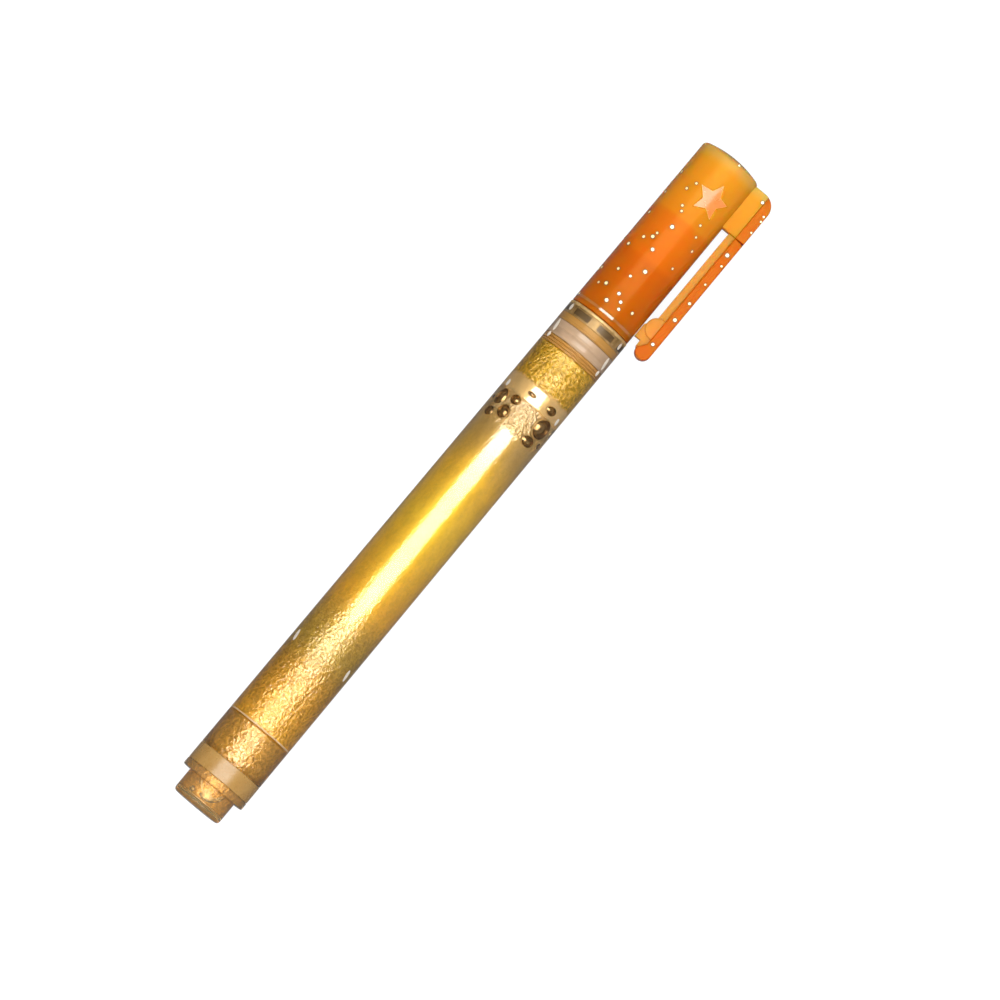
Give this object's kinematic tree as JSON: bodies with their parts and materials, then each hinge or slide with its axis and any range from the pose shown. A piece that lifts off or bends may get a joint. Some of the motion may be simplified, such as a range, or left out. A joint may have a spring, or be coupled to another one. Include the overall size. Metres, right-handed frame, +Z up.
{
  "type": "gel pen",
  "caption": "Capped gel pen with metallic ink loose in a clear barrel, a plugged tail, a ball tip behind a check valve, and a translucent pull-off cap with a moulded spring clip and a star.",
  "frame": {"origin": "middle of the footprint on the table, in the plane the pen lies on", "axes": "+X along the pen from its tail to the closed end of its cap, +Z up; the clip hangs towards -Y and down"},
  "size_m": [0.138, 0.0156, 0.0122],
  "materials": {
    "clear_plastic": "clear moulded plastic with a polished surface",
    "gold_ink": "gold pigment ink with fine metallic sparkle, seen through the barrel",
    "frosted_seal": "translucent frosted seal, greyish pink",
    "dark_band": "dark smoky plastic",
    "orange_plastic": "translucent orange plastic with loose flakes of glitter in it",
    "pale_plastic": "natural unpigmented plastic",
    "steel": "turned stainless steel",
    "hard_metal": "polished tungsten carbide"
  },
  "bodies": {
    "pen": {"rear_plug": "clear_plastic", "rear_seal_ring": "frosted_seal", "barrel": "clear_plastic", "ink_charge": "gold_ink", "front_holder": "clear_plastic", "front_seal_ring": "frosted_seal", "slotted_collar": "dark_band", "ink_feed": "gold_ink", "nose_cone": "clear_plastic", "nose_band": "dark_band", "tip_holder": "pale_plastic", "valve_cage": "pale_plastic", "tip_spring": "steel", "tip_tube": "steel"},
    "check_ball": {"check_ball": "steel"},
    "writing_ball": {"writing_ball": "hard_metal"},
    "cap": {"cap_shell": "orange_plastic", "inner_cap": "orange_plastic", "seal_pad": "frosted_seal"},
    "clip": {"clip_arm": "orange_plastic"}
  },
  "joints": [
    {"name": "cap_pull", "type": "slide", "parent": "pen", "child": "cap", "axis": [1, 0, 0], "range_m": [0, 0.03]},
    {"name": "clip_flex", "type": "hinge", "parent": "cap", "child": "clip", "pos_m": [0.059, -0.00636, 0.00172], "axis": [0, -0.4735, 0.8808], "range_deg": [0, 6], "stiffness_Nm_per_rad": 0.5},
    {"name": "ball_roll", "type": "hinge", "parent": "pen", "child": "writing_ball", "pos_m": [0.05305, 0.00174, 0.00608], "axis": [0, 1, 0], "continuous": true},
    {"name": "check_ball_travel", "type": "slide", "parent": "pen", "child": "check_ball", "axis": [1, 0, 0], "range_m": [0, 0.0008]}
  ]
}
